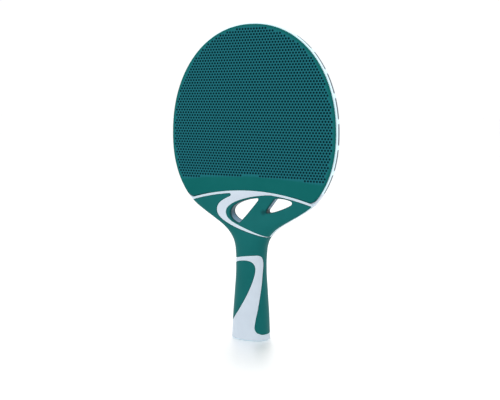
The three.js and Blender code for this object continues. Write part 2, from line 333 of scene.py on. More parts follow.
def swoosh_outer(shift):
    """Edge between the white swoosh and the left wing and neck, from the left side to the right."""
    line = chain(
        arc(-64, -21.5, ARC_RADIUS - RIB_WIDTH),
        bezier((-20.3, 121.55), (-17.4, 121.9), (-17.2, 119.7), (-19.9, 118.8)),
        bezier((-19.9, 118.8), (-26.5, 115.8), (-31.2, 113), (-31.2, 107.6)),
        bezier((-31.2, 107.6), (-31.2, 102.6), (-24.6, 98.7), (-16, 95.4)),
        bezier((-16, 95.4), (-7, 91.95), (6, 88.9), (24, 85.6)),
    )
    return unrolled(within_sides(moved_left(resample(line, LINE_STEP), shift)))


def throat_loop(shift):
    """Closed edge of the throat panel: the swoosh's inner side, the wing's lip and the rib's underside."""
    z = np.linspace(87.2, 114.3, 60)
    lip = WING_LIP_LOW + (WING_LIP_HIGH - WING_LIP_LOW) * (z - z[0]) / (z[-1] - z[0])
    inner = chain(
        bezier((-22.2, 106.6), (-22.2, 101.2), (-16, 98.3), (-8, 95.45)),
        bezier((-8, 95.45), (0, 92.6), (9, 89.9), (18, 87.2)),
    )
    radius = ARC_RADIUS - RIB_WIDTH
    upper = chain(
        arc(54.5, 20.5, radius),
        bezier((19, arc_height(19, radius)), (1, 120.9), (-21.9, 114.6), (-22.2, 106.6)),
    )
    line = chain(unrolled(inner), columns(half_girth(z) - lip, z), unrolled(upper))
    return moved_loop(resample(line, LINE_STEP)[:-1], shift)


def strip_edge():
    """Front edge of the strip down the right side: heights and angles round from the side, in degrees."""
    knots = np.array([
        [5.9, 33], [7.3, 44], [10, 49.8], [17.3, 46.9], [24.8, 40.3], [39.7, 28], [52, 18], [62, 12.4],
    ])
    degrees_per_millimetre = 1.5
    run = run_along(knots / (1, degrees_per_millimetre))
    dense = np.linspace(0, run[-1], 160)
    return columns(*[hermite(run, knot, np.gradient(knot, run), dense) for knot in knots.T])


def neck_lower(shift):
    """Edge between the neck and the white part of the handle: from the left side across the band, round
    its corner and down the strip to the right side."""
    band = unrolled(within_sides(bezier((-15, 67.1), (-5, 70.9), (8.5, 71.7))))
    rows = strip_edge()[::-1]
    strip = at_angle(rows[:, 0], rows[:, 1])
    corner = bezier(band[-1], (strip[0, 0] + 0.5, 72.3), strip[0])
    low_z = 5.2
    floor_start = at_angle(np.array([low_z]), 22.0)[0]
    side = np.array([half_girth(low_z)[0] + 2, low_z])
    turn = bezier(strip[-1], (strip[-1, 0] + 1.5, low_z), floor_start)
    line = chain(band, corner, strip, turn, bezier(floor_start, side))
    before = band[:1] - (band[1:2] - band[:1]) * 8
    line = moved_left(resample(chain(before, line), LINE_STEP), shift)
    return positive_stretch(line, half_girth(line[:, 1]) - np.abs(line[:, 0]))


def inlay_edge(shift):
    """Edge of the palm inlay, from the left side over its round top and down to the left side."""
    line = chain(
        bezier((-14, 63.6), (-8, 66.4), (8.2, 71.2), (8.2, 60)),
        bezier((8.2, 60), (8.2, 50), (-2, 27), (-17.5, 11.6)),
    )
    return unrolled(within_sides(moved_left(resample(line, LINE_STEP), shift)))


def window_loops():
    """Both windows of the throat, as closed (x, z) curves that run anticlockwise."""
    left = chain(
        bezier((5.9, 118.5), (-6, 116.9), (-18, 112.6), (-18, 106)),
        bezier((-18, 106), (-18, 102.2), (-14.5, 99.6), (-10.7, 98)),
        bezier((-10.7, 98), (-8.8, 97.2), (-7.4, 98.9)),
        bezier((-7.4, 98.9), (7.2, 116.7)),
        bezier((7.2, 116.7), (8.5, 118.9), (5.9, 118.5)),
    )
    right = chain(
        bezier((24.2, 119), (27.6, 119.4), (31.4, 119.2), (36.2, 117.9)),
        bezier((36.2, 117.9), (39.3, 116.8), (38.5, 115.1), (36.4, 114)),
        bezier((36.4, 114), (31, 111.1), (24, 108.3), (17.4, 106.9)),
        bezier((17.4, 106.9), (14.8, 106.4), (14.6, 108), (15.7, 109.6)),
        bezier((15.7, 109.6), (22.2, 118.1)),
        bezier((22.2, 118.1), (22.9, 119), (24.2, 119)),
    )
    step = 0.4
    return [resample(left, step)[:-1], resample(right, step)[:-1][::-1]]


# ---- meshes


def linked(name, data):
    """A new object in the scene."""
    made = bpy.data.objects.new(name, data)
    bpy.context.scene.collection.objects.link(made)
    return made


def new_object(name, points, faces):
    """A new mesh object, from points in millimetres."""
    mesh = bpy.data.meshes.new(name)
    mesh.from_pydata((np.asarray(points) * MM).tolist(), [], faces)
    mesh.update()
    return linked(name, mesh)


def at_depth(flat, y):
    """Points (x, z) as x, y, z."""
    return columns(flat[:, 0], y, flat[:, 1])


def loop_edges(start, count):
    """Pairs of neighbouring numbers round a closed loop."""
    return [(start + i, start + (i + 1) % count) for i in range(count)]


def stack(rings):
    """Points and faces of closed rings of equal length, stacked, with a flat cap at each end."""
    count = len(rings[0])
    last = (len(rings) - 1) * count
    faces = []
    for low in range(0, last, count):
        high = low + count
        faces += [(low + i, low + j, high + j, high + i) for i, j in loop_edges(0, count)]
    faces.append(tuple(range(count - 1, -1, -1)))
    faces.append(tuple(range(last, last + count)))
    return np.concatenate(rings), faces


def inside(points, loop):
    """Which points lie inside a closed loop."""
    a, b = loop, np.roll(loop, -1, axis=0)

    def work(p):
        x, y = p[:, :1], p[:, 1:]
        crosses = (a[:, 1] > y) != (b[:, 1] > y)
        rise = np.where(b[:, 1] == a[:, 1], 1, b[:, 1] - a[:, 1])
        at = a[:, 0] + (y - a[:, 1]) * (b[:, 0] - a[:, 0]) / rise
        return (crosses & (x < at)).sum(axis=1) % 2 == 1

    return in_parts(work, points)


def distance(points, curve, closed=False):
    """Distance from each point to a curve."""
    a = curve if closed else curve[:-1]
    b = np.roll(curve, -1, axis=0) if closed else curve[1:]
    along = b - a
    square = np.maximum((along**2).sum(axis=1), 1e-12)

    def work(p):
        t = np.clip(((p[:, None] - a) * along).sum(axis=2) / square, 0, 1)
        return np.sqrt(((p[:, None] - a - along * t[:, :, None]) ** 2).sum(axis=2)).min(axis=1)

    return in_parts(work, points)


def triangulated(points, edges):
    """Triangulates points in a plane, keeping the edges. Returns the new points, the triangles and each
    new point's number in the old list, or -1."""
    made, _, triangles, names, *_ = delaunay_2d_cdt([Vector(p) for p in points], edges, [], 0, 1e-5)
    source = np.array([numbers[0] if numbers else -1 for numbers in names])
    return np.array([tuple(p) for p in made], float), np.array(triangles), source


def round_over(away, radius):
    """How far the surface drops at a distance from an edge that is rounded over."""
    near = np.clip(radius - away, 0, radius)
    return radius - np.sqrt(radius**2 - near**2)


RING_ANGLES = np.radians([14, 28, 42, 56, 72, 90])


class Region:
    """A region of the unrolled front half. Its edges are rounded over, and a seam is where it meets its
    own mirror image at the bat's side."""

    def __init__(self):
        self.outline = []
        self.edges = []
        self.holes = []

    def edge(self, points, radius):
        points = resample(points, EDGE_STEP)
        self.edges.append((points, radius, False))
        self.outline.append((points, False))

    def seam(self, side, from_z, to_z):
        z = np.linspace(from_z, to_z, max(3, int(abs(to_z - from_z) / SEAM_STEP)))
        self.outline.append((columns(side * half_girth(z), z), True))

    def closed_edge(self, points, radius):
        points = resample(np.concatenate([points, points[:1]]), EDGE_STEP)[:-1]
        self.edges.append((points, radius, True))
        return points

    def hole(self, points, radius):
        self.holes.append(self.closed_edge(points, radius))

    def loop(self, points, radius):
        self.outline.append((self.closed_edge(points, radius), False))

    def away(self, points):
        """Distance to the nearest rounded edge."""
        return np.min([distance(points, curve, closed) for curve, _, closed in self.edges], axis=0)

    def drop(self, points):
        """How far the rounded edges lower the surface at each point."""
        made = [round_over(distance(points, curve, closed), radius) for curve, radius, closed in self.edges]
        return np.max(made, axis=0)

    def near(self, points):
        """How near each point is to an edge, from 0 past its rounding to 1 at the edge."""
        made = []
        for curve, radius, closed in self.edges:
            made.append(np.clip(1 - distance(points, curve, closed) / min(radius, EDGE_BAND), 0, 1))
        return np.max(made, axis=0)

    def widest_rounding(self):
        return max(radius for _, radius, _ in self.edges)

    def thinned(self, seam):
        """Seam points at the heights of the rounding's rings, and about every millimetre between."""
        levels = np.concatenate([[0], self.widest_rounding() * (1 - np.cos(RING_ANGLES))])
        level = np.searchsorted(levels, self.away(seam))
        kept = [0]
        for i in range(1, len(seam) - 1):
            if level[i] != level[i - 1] or abs(seam[i, 1] - seam[kept[-1], 1]) >= 1:
                kept.append(i)
        kept.append(len(seam) - 1)
        return seam[kept]

    def boundary(self):
        line = chain(*[self.thinned(points) if seam else points for points, seam in self.outline])
        return line[:-1] if np.hypot(*(line[0] - line[-1])) < 1e-3 else line

    def rings(self):
        """Points along each edge, at the distances where its rounding needs them."""
        made = []
        for curve, radius, closed in self.edges:
            run = np.concatenate([curve[-1:], curve, curve[:1]]) if closed else curve
            side = normals(run)
            if closed:
                run, side = curve, side[1:-1]
            for step in radius * (1 - np.cos(RING_ANGLES)):
                for turn in (1, -1):
                    moved = run + side * step * turn
                    made.append(moved[self.away(moved) > step * 0.98])
        return np.concatenate(made)

    def fill(self, step, outline):
        """Grid points, and closer ones near the bat's sides, in lines that follow the side."""
        low, high = outline.min(axis=0), outline.max(axis=0)
        made = []
        for k, z in enumerate(np.arange(low[1], high[1], step * 0.87)):
            reach = half_girth(z)[0] - SIDE_BAND
            across = np.arange(-reach, reach, step) + (k % 2) * step / 2
            made.append(columns(across, z))
        z = np.linspace(low[1], high[1], 2000)
        side = resample(columns(half_girth(z), z), SIDE_STEP)
        for column in np.arange(SIDE_COLUMN, SIDE_BAND, SIDE_COLUMN):
            inner = side - (column, 0)
            made += [inner, inner * (-1, 1)]
        made = np.concatenate(made)
        return made[self.away(made) > self.widest_rounding() + 0.3 * step]

    def flat(self, step):
        """Triangulates the region. Returns its points and triangles, unrolled."""
        outline = self.boundary()
        loops = [outline, *self.holes]
        added = np.concatenate([self.rings(), self.fill(step, outline)])
        added = added[inside(added, outline)]
        for hole in self.holes:
            added = added[~inside(added, hole)]
        added = added[distance(added, outline, True) > 0.05]
        edges = []
        start = 0
        for loop in loops:
            edges += loop_edges(start, len(loop))
            start += len(loop)
        points, triangles, _ = triangulated(np.concatenate([*loops, added]), edges)
        middle = points[triangles].mean(axis=1)
        keep = inside(middle, outline)
        for hole in self.holes:
            keep &= ~inside(middle, hole)
        return points, triangles[keep]


def shell(region, thickness, step=1.4):
    """Solid of a region: its surface with rounded edges, and the same surface a thickness further in.
    Also gives how near each point is to an edge, from 0 to 1."""
    flat, triangles = region.flat(step)
    used, triangles = np.unique(triangles, return_inverse=True)
    triangles = triangles.reshape(-1, 3)
    flat = flat[used]
    girth = half_girth(flat[:, 1])
    on_seam = girth - np.abs(flat[:, 0]) < 2e-3
    flat[on_seam, 0] = np.sign(flat[on_seam, 0]) * girth[on_seam]
    outer = surface(flat)
    outer[on_seam, 1] = 0
    drop = np.minimum(region.drop(flat), thickness - 0.05)
    top = inset(outer, drop)
    bottom = inset(outer, np.full(len(outer), thickness))
    count = len(flat)
    faces = [tuple(t) for t in triangles.tolist()]
    sides = dict.fromkeys(edge for a, b, c in faces for edge in ((a, b), (b, c), (c, a)))
    faces += [(c + count, b + count, a + count) for a, b, c in faces]
    for a, b in sides:
        if (b, a) not in sides and not (on_seam[a] and on_seam[b]):
            faces.append((b, a, a + count, b + count))
    near = region.near(flat)
    return np.concatenate([top, bottom]), faces, np.concatenate([near, near])


def mirrored(points, faces, signs=(1, -1, 1)):
    """The same solid on the other face of the bat, or mirrored across another plane."""
    return points * signs, [tuple(reversed(face)) for face in faces]


def joined(*solids):
    """Several solids in one list of points and faces."""
    points, faces, start = [], [], 0
    for more_points, more_faces in solids:
        points.append(more_points)
        faces += [tuple(i + start for i in face) for face in more_faces]
        start += len(more_points)
    return np.concatenate(points), faces


def mark(made, name, values):
    """Stores one number for each point of a mesh, for its material."""
    attribute = made.data.attributes.new(name, "FLOAT", "POINT")
    attribute.data.foreach_set("value", np.asarray(values, np.float32))


def solid_object(name, solid, marks=(), weld=False):
    """A solid as an object with marks. Its faces are turned outwards and its many-sided ones are split.
    With weld the points that meet halfway through the bat are joined first."""
    made = new_object(name, *solid)
    for label, values in dict(marks).items():
        mark(made, label, values)
    work = bmesh.new()
    work.from_mesh(made.data)
    if weld:
        meeting = [v for v in work.verts if abs(v.co.y) < 1e-8]
        bmesh.ops.remove_doubles(work, verts=meeting, dist=2e-6)
    bmesh.ops.recalc_face_normals(work, faces=work.faces)
    if work.calc_volume(signed=True) < 0:
        bmesh.ops.reverse_faces(work, faces=work.faces)
    bmesh.ops.triangulate(work, faces=[f for f in work.faces if len(f.verts) > 4])
    work.to_mesh(made.data)
    work.free()
    return made


def wrapped(name, points, faces, near):
    """A shell and its mirror image, welded where they meet at the bat's sides."""
    solid = joined((points, faces), mirrored(points, faces))
    return solid_object(name, solid, {"edge": np.concatenate([near, near])}, weld=True)


def apply_boolean(target, other, operation):
    """Joins or cuts target with other, and removes other."""
    modifier = target.modifiers.new("cut", "BOOLEAN")
    modifier.solver = "MANIFOLD"
    modifier.operation = operation
    modifier.object = other
    graph = bpy.context.evaluated_depsgraph_get()
    mesh = bpy.data.meshes.new_from_object(target.evaluated_get(graph))
    target.modifiers.clear()
    target.data = mesh
    bpy.data.objects.remove(other)


# ---- regions of the throat and handle


def neck_region():
    region = Region()
    upper, lower = swoosh_outer(-HALF_SEAM), neck_lower(HALF_SEAM)
    region.edge(lower, SKIN_EDGE)
    region.seam(1, lower[-1, 1], upper[-1, 1])
    region.edge(upper[::-1], SKIN_EDGE)
    region.seam(-1, upper[0, 1], lower[0, 1])
    return region


def inlay_region():
    region = Region()
    line = inlay_edge(-HALF_SEAM)
    region.edge(line[::-1], SKIN_EDGE)
    region.seam(-1, line[0, 1], line[-1, 1])
    return region


def panel_region():
    region = Region()
    region.loop(throat_loop(HALF_SEAM), SKIN_EDGE)
    for window in window_loops():
        region.hole(unrolled(window), WINDOW_EDGE)
    return region


def panel_shell():
    """The panel, which is also marked round the lower corner of the right-hand window for painted shade
    there.
    """
    points, faces, near = shell(panel_region(), SKIN_THICK)
    away = np.hypot(points[:, 0] - SHADED_CORNER_AT[0], points[:, 2] - SHADED_CORNER_AT[1])
    dark_within, plain_beyond = 1.2, 2.8
    return points, faces, np.maximum(near, 1 - fade(away, dark_within, plain_beyond))


def white_throat_region():
    """Rib, swoosh and the lip of the right wing, round the throat panel."""
    region = Region()
    top = unrolled(within_sides(arc(70, -70, ARC_RADIUS - HALF_SEAM, 400)))
    low = swoosh_outer(HALF_SEAM)
    region.edge(low, WHITE_EDGE)
    region.seam(1, low[-1, 1], top[0, 1])
    region.edge(top, WHITE_EDGE)
    region.seam(-1, top[-1, 1], low[0, 1])
    region.hole(throat_loop(-HALF_SEAM), WHITE_EDGE)
    return region


def white_handle_region():
    region = Region()
    upper, inlay = neck_lower(-HALF_SEAM), inlay_edge(HALF_SEAM)
    girth = half_girth(0)[0]
    region.edge(np.array([[-girth, 0], [girth, 0]]), BUTT_EDGE)
    region.seam(1, 0, upper[-1, 1])
    region.edge(upper[::-1], WHITE_EDGE)
    region.seam(-1, upper[0, 1], inlay[0, 1])
    region.edge(inlay, WHITE_EDGE)
    region.seam(-1, inlay[-1, 1], 0)
    return region


# ---- the moulded core


def section_ring(z, side_inset, face_inset, count=96, section_z=None):
    """Closed ring of the section at height z, anticlockwise from above. With section_z it has the shape
    of the section at that height instead."""
    at = np.array([z if section_z is None else section_z], float)
    w, d, n = (station(column, at)[0] for column in (1, 2, 3))
    angle = 2 * np.pi * np.arange(count) / count
    c, s = np.cos(angle), np.sin(angle)
    x = (w - side_inset) * np.sign(c) * np.abs(c) ** (2 / n)
    y = (d - face_inset) * np.sign(s) * np.abs(s) ** (2 / n)
    return columns(x, y, z)


def section_body(side_inset, face_inset, low_z, high_z, step=1.5):
    """Solid that follows the sections between two heights, inside them by the insets."""
    heights = np.linspace(low_z, high_z, int((high_z - low_z) / step) + 2)
    return stack([section_ring(z, side_inset, face_inset) for z in heights])


def wing_filler():
    """The core between the throat panels, out to the right-hand edge of the wing."""
    rings = []
    edge_inset = 0.35
    for z in np.linspace(89.5, 118, 40):
        ring = section_ring(z, edge_inset, POCKET_DEPTH)
        right = ring[ring[:, 0] > -0.5]
        rings.append(right[np.argsort(np.arctan2(right[:, 1], right[:, 0]))])
    return stack(rings)


def low_half_width(z):
    """Half width of the sheets at a height below their widest place."""
    return SHEET_HALF_WIDTH * np.sqrt(1 - ((WIDEST_Z - z) / HEAD_DROP) ** DROP_POWER)


def head_side(margin, low_steps=70, crown_steps=150):
    """Right half of the head's outline, from the plate's lower corner to the top."""
    z = PLATE_LOW_Z + (WIDEST_Z - PLATE_LOW_Z) * np.arange(low_steps) / low_steps
    low = columns(low_half_width(z) + margin, z)
    angle = np.pi / 2 * np.arange(crown_steps + 1) / crown_steps
    across = np.maximum(np.cos(angle), 0) ** (2 / CROWN_POWER)
    up = np.sin(angle) ** (2 / CROWN_POWER)
    x, z = (SHEET_HALF_WIDTH + margin) * across, WIDEST_Z + (HEAD_RISE + margin) * up
    return np.concatenate([low, columns(x, z)])


def both_sides(right):
    """A closed outline from its right half, which runs up to the middle of the top."""
    left = right[::-1] * (-1, 1)
    return np.concatenate([right, left[left[:, 0] < -1e-6]])


def coin(outline_at, rounding, half):
    """A flat solid with a rounded rim. outline_at(margin) gives its outline, or a smaller one below 0."""
    turns = np.linspace(0, np.pi / 2, 7)
    profile = [(-rounding * (1 - math.sin(a)), half - rounding * (1 - math.cos(a))) for a in turns]
    levels = profile + [(margin, -y) for margin, y in profile[::-1]]
    return stack([at_depth(outline_at(margin), y) for margin, y in levels])


def head_plate():
    """The head's plate. Its low end runs along the middle of the rib, clear of the windows."""
    low = arc(-50, 50, ARC_RADIUS - RIB_WIDTH / 2)

    def outline_at(margin):
        return np.concatenate([both_sides(head_side(RIM + margin)), low])

    return coin(outline_at, PLATE_ROUNDING, PLATE_HALF)


def divided(loop, step):
    """Adds points along the long sides of a closed outline, so that it can be bent."""
    made = []
    for a, b in zip(loop, np.roll(loop, -1, axis=0)):
        count = max(1, int(np.hypot(*(b - a)) / step))
        made += [a + (b - a) * k / count for k in range(count)]
    return np.array(made)


def bar_outline(half_length, half_height, corner):
    """Closed outline of a bar with round corners."""
    turn = np.linspace(0, np.pi / 2, 7)
    made = []
    for quarter, (sx, sy) in enumerate(((1, 1), (-1, 1), (-1, -1), (1, -1))):
        angle = turn + quarter * np.pi / 2
        x = sx * (half_length - corner) + corner * np.cos(angle)
        y = sy * (half_height - corner) + corner * np.sin(angle)
        made.append(columns(x, y))
    return divided(np.concatenate(made), 1.5)


def slot_cutters():
    """Round-ended slots that follow the rim, each a little wider at its mouth."""
    outline = head_side(RIM)[::-1]
    run = run_along(outline)
    outward = normals(outline)
    past_rim = 1
    levels = [
        (-SLOT_DEPTH, -SLOT_FLARE),
        (-SLOT_DEPTH + SLOT_FLARE, 0),
        (-SLOT_FLARE, 0),
        (0, SLOT_FLARE),
        (past_rim, SLOT_FLARE + past_rim),
    ]
    radius = SLOT_HEIGHT / 2 - 0.1
    solids = []
    for index in range(SLOTS_PER_SIDE):
        centre = FIRST_SLOT_FROM_TOP + index * SLOT_PITCH + SLOT_LENGTH / 2
        rings = []
        for level, flare in levels:
            rise = flare * 0.6
            bar = bar_outline(SLOT_LENGTH / 2 + flare, SLOT_HEIGHT / 2 + rise, radius + rise)
            at = centre + bar[:, 0]
            x, z = (np.interp(at, run, outline[:, k] + outward[:, k] * level) for k in (0, 1))
            rings.append(columns(x, bar[:, 1] + SLOT_Y, z))
        solids.append(stack(rings))
    right = joined(*solids)
    return joined(right, mirrored(*right, (-1, 1, 1)))


def window_cutters():
    """Straight cutters through the whole bat, one for each window."""
    past_bat = 20
    return joined(*[stack([at_depth(loop, y) for y in (past_bat, -past_bat)]) for loop in window_loops()])


def plug_recess(margin):
    """Room for the plug's flange, with a margin all round."""
    land = PLUG_LAND + BUTT_EDGE - margin
    heights = (-margin, PLUG_FLANGE_THICK + margin)
    return stack([section_ring(z, land, land, section_z=0) for z in heights])


def nearest_values(points, known, values, reach):
    """For each point the value of the nearest known point, or 0 beyond a reach."""
    tree = KDTree(len(known))
    for index, place in enumerate(known.tolist()):
        tree.insert(place, index)
    tree.balance()
    made = np.zeros(len(points))
    for k, place in enumerate(points.tolist()):
        _, index, away = tree.find(place)
        if away < reach:
            made[k] = values[index]
    return made


def fade(values, start, end):
    """Smooth step from 0 at start to 1 at end."""
    t = np.clip((values - start) / (end - start), 0, 1)
    return t * t * (3 - 2 * t)


def mark_core(core, *whites):
    """Marks the core for its material: a painted highlight along its edges, painted shade on its windows'
    walls and darker painted shade where these are shaded, and painted shade inside its slots.
    """
    points = np.empty(len(core.data.vertices) * 3, np.float32)
    core.data.vertices.foreach_get("co", points)
    points = points.reshape(-1, 3).astype(float) / MM
    depth, height = points[:, 1], points[:, 2]
    # Painted highlight along the edges of the white parts and round the rounded rim of the head's plate.
    known = np.concatenate([side for p, _, _ in whites for side in (p, p * (1, -1, 1))])
    near = np.concatenate([side for _, _, n in whites for side in (n, n)])
    in_head = height > PLAIN_HEAD_Z
    on_rounding = in_head & (np.abs(depth) > PLATE_HALF - PLATE_ROUNDING - 0.05)
    same_place = 0.6
    mark(core, "edge", np.maximum(nearest_values(points, known, near, same_place), on_rounding))
    flat = points[:, ::2]
    left, right = (distance(flat, loop, True) < 0.02 for loop in window_loops())
    # Painted blue-grey shade on the windows' walls.
    mark(core, "wall_shade", (left | right).astype(float))
    # Darker painted shade on the upper part of the left window's walls and on the lower part of the right
    # window's walls.
    left_shade = 0.7 * fade(height, 100, 106)
    right_shade = fade(-height, -111.5, -109)
    mark(core, "shaded", left * left_shade + right * right_shade)
    # Painted grey shade inside the slots, from nothing at their mouths to full a little way in.
    in_slot = in_head & (np.abs(depth - SLOT_Y) < SLOT_HEIGHT / 2 + 0.05)
    mark(core, "slot_shade", in_slot * fade(distance(flat, both_sides(head_side(RIM))), 0.05, 0.4))


def core_moulding():
    """The core in one piece: joined from its parts, then hollowed and cut."""
    core = solid_object("core_moulding", section_body(POCKET_DEPTH, POCKET_DEPTH, 0, CORE_TOP_Z))
    throat = shell(white_throat_region(), WHITE_THICK)
    handle = shell(white_handle_region(), WHITE_THICK)
    parts = (
        solid_object("filler", wing_filler()),
        wrapped("white_throat", *throat),
        wrapped("white_handle", *handle),
        solid_object("plate", head_plate()),
    )
    for part in parts:
        apply_boolean(core, part, "UNION")
    cutters = {
        "cavity": section_body(CAVITY_INSET, CAVITY_INSET, -1, CAVITY_TOP_Z),
        "recess": plug_recess(PLUG_GAP),
        "windows": window_cutters(),
        "slots": slot_cutters(),
    }
    for name, solid in cutters.items():
        apply_boolean(core, solid_object(name, solid), "DIFFERENCE")
    core.data.attributes.remove(core.data.attributes["edge"])
    mark_core(core, throat, handle)
    return core


# ---- rubber sheets


def sheet_outline(margin):
    """Outline of a rubber sheet, drawn in by a negative margin."""
    corner_top = (low_half_width(SHEET_CORNER_Z), SHEET_CORNER_Z)
    radius = ARC_RADIUS + HALF_SEAM
    corner_x = 52.5
    side = head_side(0)
    line = chain(
        arc(0, corner_x, radius),
        bezier((corner_x, arc_height(corner_x, radius)), (57.2, 116.1), corner_top),
        side[side[:, 1] > SHEET_CORNER_Z + 0.3],
    )
    right = resample(line, 0.7)
    loop = np.concatenate([right, (right * (-1, 1))[::-1][1:-1]])
    return moved_loop(loop, -margin)


def dimple_limit(x):
    """Height of the lower edge of the dimpled area."""
    return DIMPLE_LOW_Z - DIMPLE_LOW_RADIUS + np.sqrt(DIMPLE_LOW_RADIUS**2 - x**2)


def dimple_centres(outline):
    """Rows of dimples in a regular lattice, each row half a pitch on from the last."""
    row_step = DIMPLE_PITCH * math.sqrt(3) / 2
    made = []
    for row in range(-40, 40):
        z = DIMPLE_AT[1] + row * row_step
        x = DIMPLE_AT[0] + (row % 2) * DIMPLE_PITCH / 2 + np.arange(-60, 30) * DIMPLE_PITCH
        made.append(columns(x, z))
    made = np.concatenate(made)
    made = made[made[:, 1] > dimple_limit(made[:, 0])]
    made = made[inside(made, outline)]
    return made[distance(made, outline, True) > DIMPLE_EDGE]


class MarkedMesh:
    """A mesh that is being made, with marks from 0 to 1 for each of its points."""

    def __init__(self, *names):
        self.points = []
        self.faces = []
        self.count = 0
        self.marks = {name: [] for name in names}

    def add(self, flat, y, **marks):
        """Adds points (x, z) at a depth y. Returns their numbers."""
        self.points.append(at_depth(flat, y))
        for name, values in self.marks.items():
            values.append(np.broadcast_to(marks.get(name, 0), len(flat)))
        self.count += len(flat)
        return np.arange(self.count - len(flat), self.count)

    def finished(self):
        """The solid and its marks."""
        marks = {name: np.concatenate(values) for name, values in self.marks.items()}
        return (np.concatenate(self.points), self.faces), marks


def polygons(centres, radius):
    """Points of a small circle round each centre."""
    angle = 2 * np.pi * (np.arange(DIMPLE_SIDES) + 0.5) / DIMPLE_SIDES
    circle = columns(np.cos(angle), np.sin(angle))
    return (centres[:, None] + circle * radius).reshape(-1, 2)


def sheet_front(outline, mouths):
    """The flat front between the dimples: its points, triangles and each point's number among those of the
    outline and the dimples' mouths, or a number past these."""
    from_rim, below_dimples, step = 1.2, 1.6, 1.3
    inner = sheet_outline(-from_rim)[::2]
    across = np.arange(-64, 65, step)
    below = columns(across, dimple_limit(across) - below_dimples)
    count = len(outline)
    edges = loop_edges(0, count)
    for start in range(count, count + len(mouths), DIMPLE_SIDES):
        edges += loop_edges(start, DIMPLE_SIDES)
    flat = np.concatenate([outline, mouths, inner, below[inside(below, inner)]])
    flat, triangles, source = triangulated(flat, edges)
    corners = source[triangles]
    owner = (corners - count) // DIMPLE_SIDES
    in_mouths = (corners >= count) & (corners < count + len(mouths))
    in_dimple = in_mouths.all(axis=1) & (owner.max(axis=1) == owner.min(axis=1))
    middle = flat[triangles].mean(axis=1)
    return flat, triangles[inside(middle, outline) & ~in_dimple], source


def sink_dimples(made, centres, rows):
    """Adds the walls and floors of the dimples below their mouths' points, marked for painted shade that is
    darker further down.
    """
    for radius, depth, dark in DIMPLE_STEPS:
        ring = made.add(polygons(centres, radius), depth - FACE_HALF, pit=dark, field=1)
        ring = ring.reshape(-1, DIMPLE_SIDES)
        for upper, lower in zip(rows.tolist(), ring.tolist()):
            for i, j in loop_edges(0, DIMPLE_SIDES):
                made.faces.append((upper[i], upper[j], lower[j], lower[i]))
        rows = ring
    bottoms = made.add(centres, DIMPLE_DEPTH - FACE_HALF, pit=1, field=1)
    for bottom, lower in zip(bottoms.tolist(), rows.tolist()):
        made.faces += [(lower[i], lower[j], bottom) for i, j in loop_edges(0, DIMPLE_SIDES)]


def rubber_sheet():
    """Solid of the front sheet. Marks: how deep in a dimple a point is, for painted shade there (pit),
    whether it is in the dimpled area, for a painted highlight (field), and whether it is at the sheet's
    lower edge, for painted shade along it (edge)."""
    rounding = 0.35
    turns = np.linspace(0, np.pi / 2, 4)[::-1][1:]
    rims = [(-rounding * (1 - math.sin(a)), rounding * (1 - math.cos(a)) - FACE_HALF) for a in turns]
    outline = sheet_outline(-rounding)
    centres = dimple_centres(sheet_outline(0))
    mouths = polygons(centres, DIMPLE_RIM)
    flat, triangles, source = sheet_front(outline, mouths)
    count = len(outline)
    made = MarkedMesh("pit", "field", "edge")
    on_mouth = (source >= count) & (source < count + len(mouths))
    # The sheet's lower edge is marked here and on the rings of its rim below, for painted shade along it.
    made.add(flat, -FACE_HALF, field=on_mouth, edge=(source < count) & (flat[:, 1] < SHEET_CORNER_Z))
    made.faces += [tuple(t) for t in triangles.tolist()]
    place = np.full(len(source) + 10, -1)
    place[source] = np.arange(len(source))
    sink_dimples(made, centres, place[count : count + len(mouths)].reshape(-1, DIMPLE_SIDES))
    above = place[:count].tolist()
    for margin, y in [*rims, (0, -SHEET_INNER)]:
        ring = sheet_outline(margin)
        below = made.add(ring, y, edge=ring[:, 1] < SHEET_CORNER_Z).tolist()
        made.faces += [(above[j], above[i], below[i], below[j]) for i, j in loop_edges(0, count)]
        above = below
    made.faces.append(tuple(above[::-1]))
    return made.finished()


# ---- plug


def handle_plug():
    """Plug of the hollow handle: a flange with a broken edge and a skirt."""
    land = PLUG_LAND + BUTT_EDGE
    edge = 0.3
    profile = [(edge, 0), (edge / 3, edge / 3), (0, edge), (0, PLUG_FLANGE_THICK)]
    flange = stack([section_ring(z, land + more, land + more, section_z=0) for more, z in profile])
    made = solid_object("handle_plug", flange)
    skirt = section_body(PLUG_SKIRT_INSET, PLUG_SKIRT_INSET, PLUG_FLANGE_THICK / 2, PLUG_SKIRT_TOP_Z)
    apply_boolean(made, solid_object("skirt", skirt), "UNION")
    well_inset = PLUG_SKIRT_INSET + PLUG_SKIRT_WALL
    well = section_body(well_inset, well_inset, PLUG_FLANGE_THICK, PLUG_SKIRT_TOP_Z + 1)
    apply_boolean(made, solid_object("well", well), "DIFFERENCE")
    return made


# ---- materials


def node_material(name, colour, roughness, specular):
    """A new material, with its shader's own sockets set. Returns it, its node tree and its shader."""
    material = bpy.data.materials.new(name)
    material.use_nodes = True
    tree = material.node_tree
    shader = tree.nodes["Principled BSDF"]
    shader.inputs["Base Color"].default_value = (*colour, 1)
    shader.inputs["Roughness"].default_value = roughness
    shader.inputs["Specular IOR Level"].default_value = specular
    return material, tree, shader


def add_node(tree, kind, **values):
    """A new node, with some of its sockets set by name."""
    made = tree.nodes.new("ShaderNode" + kind)
    for name, value in values.items():
        made.inputs[name.replace("_", " ")].default_value = value
    return made


def noise(tree, scale, detail=3.0):
    """Noise at a scale in cycles per metre, in the object's own space."""
    where = add_node(tree, "TexCoord")
    made = add_node(tree, "TexNoise", Scale=scale, Detail=detail)
    tree.links.new(where.outputs["Object"], made.inputs["Vector"])
    return made.outputs["Fac"]


